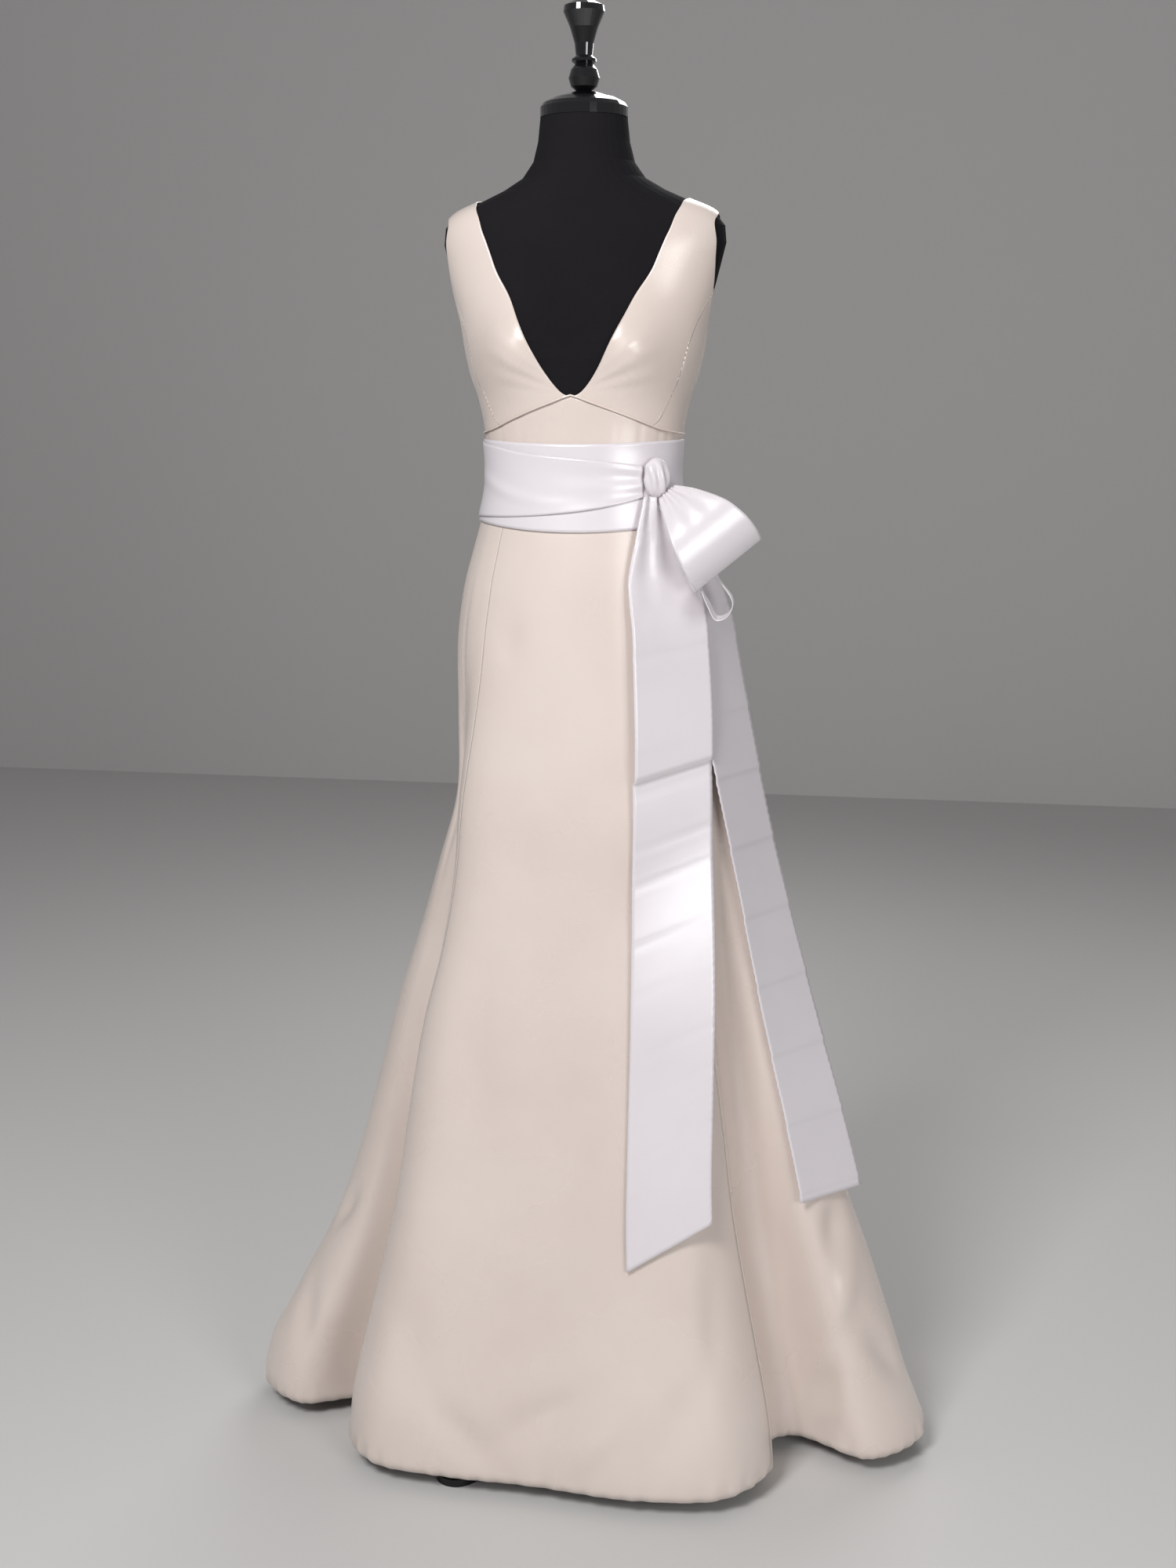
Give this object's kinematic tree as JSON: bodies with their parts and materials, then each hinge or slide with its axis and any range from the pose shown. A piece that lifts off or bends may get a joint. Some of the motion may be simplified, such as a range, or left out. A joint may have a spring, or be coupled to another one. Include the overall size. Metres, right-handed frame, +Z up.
{
  "type": "wedding dress on dress form",
  "caption": "Sleeveless ivory satin wedding dress with a deep V neck, trumpet skirt and wide ribbon sash, on a black dress form",
  "frame": {"origin": "on the floor under the pole, at the middle of the cross base's underside", "axes": "+Z up, the dress faces -Y, +X is the wearer's left"},
  "size_m": [0.9103, 0.7409, 1.852],
  "materials": {
    "gown_satin": "ivory duchess satin, soft sheen",
    "sash_ribbon": "cool white satin ribbon",
    "form_jersey": "matt black jersey",
    "cap_lacquer": "gloss black lacquer",
    "stand_steel": "satin black paint"
  },
  "bodies": {
    "root": {"form_torso": "form_jersey", "neck_cap": "cap_lacquer", "finial": "cap_lacquer", "pole_socket": "stand_steel", "pole": "stand_steel", "pole_flange": "stand_steel", "stand_base": "stand_steel", "bodice_front_left": "gown_satin", "bodice_front_right": "gown_satin", "bodice_side_left": "gown_satin", "bodice_side_right": "gown_satin", "bodice_back_left": "gown_satin", "bodice_back_right": "gown_satin", "midriff_front": "gown_satin", "midriff_back_left": "gown_satin", "midriff_back_right": "gown_satin", "midriff_piping": "gown_satin", "skirt_back_right": "gown_satin", "skirt_side_back_right": "gown_satin", "skirt_side_front_right": "gown_satin", "skirt_front": "gown_satin", "skirt_side_front_left": "gown_satin", "skirt_side_back_left": "gown_satin", "skirt_back_left": "gown_satin", "sash_band_front": "sash_ribbon", "sash_band_back": "sash_ribbon", "sash_wrap": "sash_ribbon", "tail_side": "sash_ribbon", "tail_front": "sash_ribbon", "sash_knot": "sash_ribbon", "bow_loop_large": "sash_ribbon", "bow_loop_small": "sash_ribbon"}
  },
  "joints": []
}
